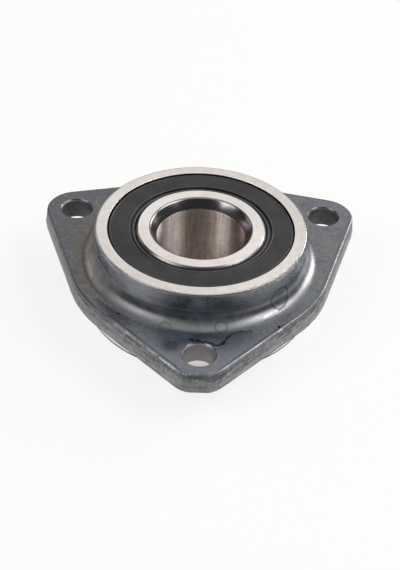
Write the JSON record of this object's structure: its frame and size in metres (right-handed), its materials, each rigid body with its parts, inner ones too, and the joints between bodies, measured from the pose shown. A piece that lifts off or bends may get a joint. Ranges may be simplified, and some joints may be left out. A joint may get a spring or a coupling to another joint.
{
  "type": "flanged fan bearing",
  "caption": "Sealed ball bearing whose outer ring carries a raised boss, a bolt flange with ears and a locating spigot below, with a plain bore for a fan shaft.",
  "frame": {"origin": "on the bearing's axis, in the plane of the flange's mounting face", "axes": "+Z along the bearing's axis, out of the boss; the locating spigot points to -Z and the front ear to -Y"},
  "size_m": [0.0912, 0.0884, 0.0254],
  "materials": {
    "forged_steel": "satin",
    "ground_steel": "satin",
    "ball_steel": "polished",
    "seal_rubber": "matte",
    "cage_polyamide": "satin"
  },
  "bodies": {
    "housing": {"flanged_outer_ring": "forged_steel", "seal_upper": "seal_rubber", "seal_lower": "seal_rubber"},
    "inner_ring": {"inner_ring": "ground_steel"},
    "cage_upper": {"cage_upper": "cage_polyamide"},
    "ball_upper_1": {"ball_upper_1": "ball_steel"},
    "ball_upper_2": {"ball_upper_2": "ball_steel"},
    "ball_upper_3": {"ball_upper_3": "ball_steel"},
    "ball_upper_4": {"ball_upper_4": "ball_steel"},
    "ball_upper_5": {"ball_upper_5": "ball_steel"},
    "ball_upper_6": {"ball_upper_6": "ball_steel"},
    "ball_upper_7": {"ball_upper_7": "ball_steel"},
    "ball_upper_8": {"ball_upper_8": "ball_steel"},
    "ball_upper_9": {"ball_upper_9": "ball_steel"},
    "cage_lower": {"cage_lower": "cage_polyamide"},
    "ball_lower_1": {"ball_lower_1": "ball_steel"},
    "ball_lower_2": {"ball_lower_2": "ball_steel"},
    "ball_lower_3": {"ball_lower_3": "ball_steel"},
    "ball_lower_4": {"ball_lower_4": "ball_steel"},
    "ball_lower_5": {"ball_lower_5": "ball_steel"},
    "ball_lower_6": {"ball_lower_6": "ball_steel"},
    "ball_lower_7": {"ball_lower_7": "ball_steel"},
    "ball_lower_8": {"ball_lower_8": "ball_steel"},
    "ball_lower_9": {"ball_lower_9": "ball_steel"}
  },
  "joints": [
    {"name": "inner_ring_spin", "type": "hinge", "parent": "housing", "child": "inner_ring", "pos_m": [0, 0, 0], "axis": [0, 0, 1], "continuous": true},
    {"name": "cage_upper_orbit", "type": "hinge", "parent": "housing", "child": "cage_upper", "pos_m": [0, 0, 0], "axis": [0, 0, 1], "continuous": true},
    {"name": "ball_upper_1_roll", "type": "hinge", "parent": "cage_upper", "child": "ball_upper_1", "pos_m": [0.0219, 0, 0.0086], "axis": [0.4226, 0, 0.9063], "continuous": true},
    {"name": "ball_upper_2_roll", "type": "hinge", "parent": "cage_upper", "child": "ball_upper_2", "pos_m": [0.01678, 0.01408, 0.0086], "axis": [0.3237, 0.2717, 0.9063], "continuous": true},
    {"name": "ball_upper_3_roll", "type": "hinge", "parent": "cage_upper", "child": "ball_upper_3", "pos_m": [0.0038, 0.02157, 0.0086], "axis": [0.0734, 0.4162, 0.9063], "continuous": true},
    {"name": "ball_upper_4_roll", "type": "hinge", "parent": "cage_upper", "child": "ball_upper_4", "pos_m": [-0.01095, 0.01897, 0.0086], "axis": [-0.2113, 0.366, 0.9063], "continuous": true},
    {"name": "ball_upper_5_roll", "type": "hinge", "parent": "cage_upper", "child": "ball_upper_5", "pos_m": [-0.02058, 0.00749, 0.0086], "axis": [-0.3971, 0.1445, 0.9063], "continuous": true},
    {"name": "ball_upper_6_roll", "type": "hinge", "parent": "cage_upper", "child": "ball_upper_6", "pos_m": [-0.02058, -0.00749, 0.0086], "axis": [-0.3971, -0.1445, 0.9063], "continuous": true},
    {"name": "ball_upper_7_roll", "type": "hinge", "parent": "cage_upper", "child": "ball_upper_7", "pos_m": [-0.01095, -0.01897, 0.0086], "axis": [-0.2113, -0.366, 0.9063], "continuous": true},
    {"name": "ball_upper_8_roll", "type": "hinge", "parent": "cage_upper", "child": "ball_upper_8", "pos_m": [0.0038, -0.02157, 0.0086], "axis": [0.0734, -0.4162, 0.9063], "continuous": true},
    {"name": "ball_upper_9_roll", "type": "hinge", "parent": "cage_upper", "child": "ball_upper_9", "pos_m": [0.01678, -0.01408, 0.0086], "axis": [0.3237, -0.2717, 0.9063], "continuous": true},
    {"name": "cage_lower_orbit", "type": "hinge", "parent": "housing", "child": "cage_lower", "pos_m": [0, 0, 0], "axis": [0, 0, 1], "continuous": true},
    {"name": "ball_lower_1_roll", "type": "hinge", "parent": "cage_lower", "child": "ball_lower_1", "pos_m": [0.02058, 0.00749, -0.0012], "axis": [-0.3971, -0.1445, 0.9063], "continuous": true},
    {"name": "ball_lower_2_roll", "type": "hinge", "parent": "cage_lower", "child": "ball_lower_2", "pos_m": [0.01095, 0.01897, -0.0012], "axis": [-0.2113, -0.366, 0.9063], "continuous": true},
    {"name": "ball_lower_3_roll", "type": "hinge", "parent": "cage_lower", "child": "ball_lower_3", "pos_m": [-0.0038, 0.02157, -0.0012], "axis": [0.0734, -0.4162, 0.9063], "continuous": true},
    {"name": "ball_lower_4_roll", "type": "hinge", "parent": "cage_lower", "child": "ball_lower_4", "pos_m": [-0.01678, 0.01408, -0.0012], "axis": [0.3237, -0.2717, 0.9063], "continuous": true},
    {"name": "ball_lower_5_roll", "type": "hinge", "parent": "cage_lower", "child": "ball_lower_5", "pos_m": [-0.0219, 0, -0.0012], "axis": [0.4226, 0, 0.9063], "continuous": true},
    {"name": "ball_lower_6_roll", "type": "hinge", "parent": "cage_lower", "child": "ball_lower_6", "pos_m": [-0.01678, -0.01408, -0.0012], "axis": [0.3237, 0.2717, 0.9063], "continuous": true},
    {"name": "ball_lower_7_roll", "type": "hinge", "parent": "cage_lower", "child": "ball_lower_7", "pos_m": [-0.0038, -0.02157, -0.0012], "axis": [0.0734, 0.4162, 0.9063], "continuous": true},
    {"name": "ball_lower_8_roll", "type": "hinge", "parent": "cage_lower", "child": "ball_lower_8", "pos_m": [0.01095, -0.01897, -0.0012], "axis": [-0.2113, 0.366, 0.9063], "continuous": true},
    {"name": "ball_lower_9_roll", "type": "hinge", "parent": "cage_lower", "child": "ball_lower_9", "pos_m": [0.02058, -0.00749, -0.0012], "axis": [-0.3971, 0.1445, 0.9063], "continuous": true}
  ],
  "couplings": [
    {"joint": "cage_upper_orbit", "follows": "inner_ring_spin", "ratio": 0.40689},
    {"joint": "ball_upper_1_roll", "follows": "inner_ring_spin", "ratio": -2.3489},
    {"joint": "ball_upper_2_roll", "follows": "inner_ring_spin", "ratio": -2.3489},
    {"joint": "ball_upper_3_roll", "follows": "inner_ring_spin", "ratio": -2.3489},
    {"joint": "ball_upper_4_roll", "follows": "inner_ring_spin", "ratio": -2.3489},
    {"joint": "ball_upper_5_roll", "follows": "inner_ring_spin", "ratio": -2.3489},
    {"joint": "ball_upper_6_roll", "follows": "inner_ring_spin", "ratio": -2.3489},
    {"joint": "ball_upper_7_roll", "follows": "inner_ring_spin", "ratio": -2.3489},
    {"joint": "ball_upper_8_roll", "follows": "inner_ring_spin", "ratio": -2.3489},
    {"joint": "ball_upper_9_roll", "follows": "inner_ring_spin", "ratio": -2.3489},
    {"joint": "cage_lower_orbit", "follows": "inner_ring_spin", "ratio": 0.40689},
    {"joint": "ball_lower_1_roll", "follows": "inner_ring_spin", "ratio": -2.3489},
    {"joint": "ball_lower_2_roll", "follows": "inner_ring_spin", "ratio": -2.3489},
    {"joint": "ball_lower_3_roll", "follows": "inner_ring_spin", "ratio": -2.3489},
    {"joint": "ball_lower_4_roll", "follows": "inner_ring_spin", "ratio": -2.3489},
    {"joint": "ball_lower_5_roll", "follows": "inner_ring_spin", "ratio": -2.3489},
    {"joint": "ball_lower_6_roll", "follows": "inner_ring_spin", "ratio": -2.3489},
    {"joint": "ball_lower_7_roll", "follows": "inner_ring_spin", "ratio": -2.3489},
    {"joint": "ball_lower_8_roll", "follows": "inner_ring_spin", "ratio": -2.3489},
    {"joint": "ball_lower_9_roll", "follows": "inner_ring_spin", "ratio": -2.3489}
  ]
}
